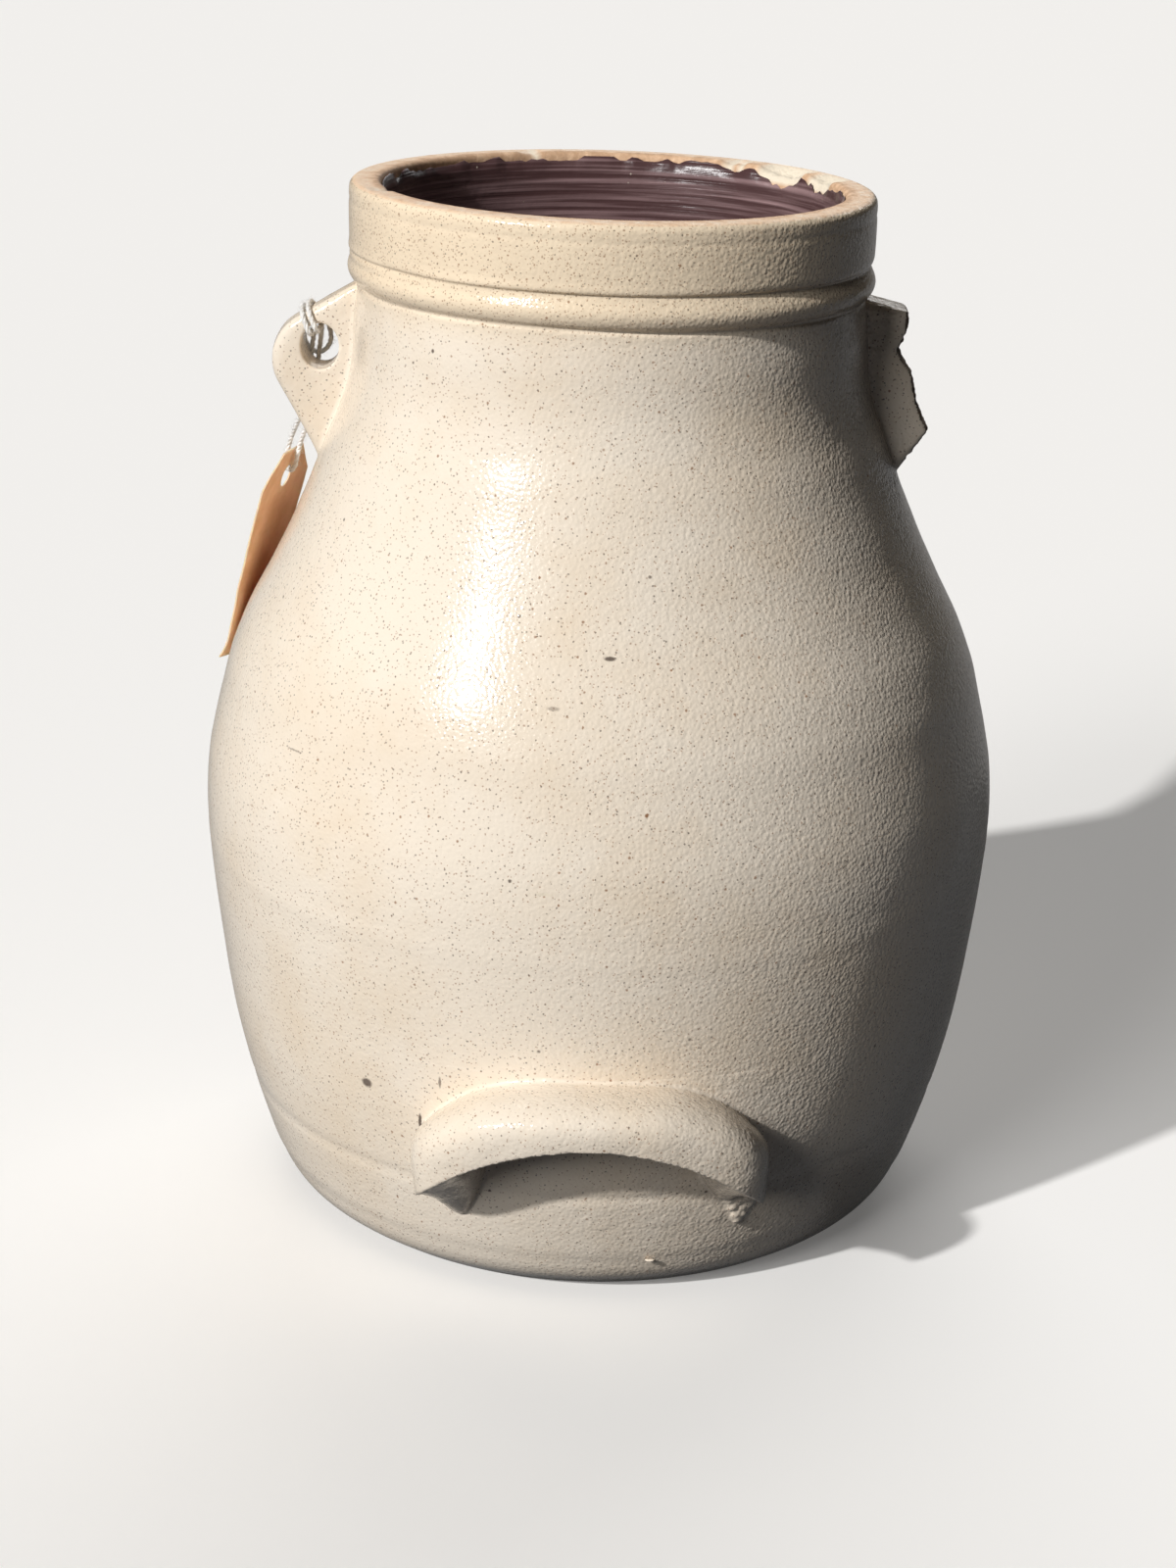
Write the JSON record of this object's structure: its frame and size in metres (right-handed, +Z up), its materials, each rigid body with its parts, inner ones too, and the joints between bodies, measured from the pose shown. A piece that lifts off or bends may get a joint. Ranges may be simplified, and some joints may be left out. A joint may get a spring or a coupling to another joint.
{
  "type": "batter pail",
  "caption": "Stoneware batter pail: a round-bellied pot with a beaded collar, bail ears, a tilt handle low on the front, a spout at the back and a tie-on tag.",
  "frame": {"origin": "centre of the flat base, on the pot's axis", "axes": "+Z up along the pot's axis, -Y towards the tilt handle, +Y towards the spout, -X towards the whole ear with the tag"},
  "size_m": [0.206, 0.2364, 0.265],
  "materials": {
    "salt_glaze": "salt glaze with an orange-peel skin and fine iron specks",
    "brown_slip": "glossy dark brown slip",
    "raw_clay": "salt-glazed sides with a bare fracture face",
    "cotton": "soft white cotton string",
    "manila": "dull tan card"
  },
  "bodies": {
    "pail": {"pail_body": "salt_glaze", "slip_lining": "brown_slip", "left_ear": "salt_glaze", "right_ear": "raw_clay", "tilt_handle": "salt_glaze", "spout": "salt_glaze", "string_hitch": "cotton"},
    "tag": {"string_fall": "cotton", "paper_tag": "manila"}
  },
  "joints": [
    {"name": "tag_swing", "type": "hinge", "parent": "pail", "child": "tag", "pos_m": [-0.0773, 0, 0.21415], "axis": [0, 1, 0], "range_deg": [0, 150]}
  ]
}
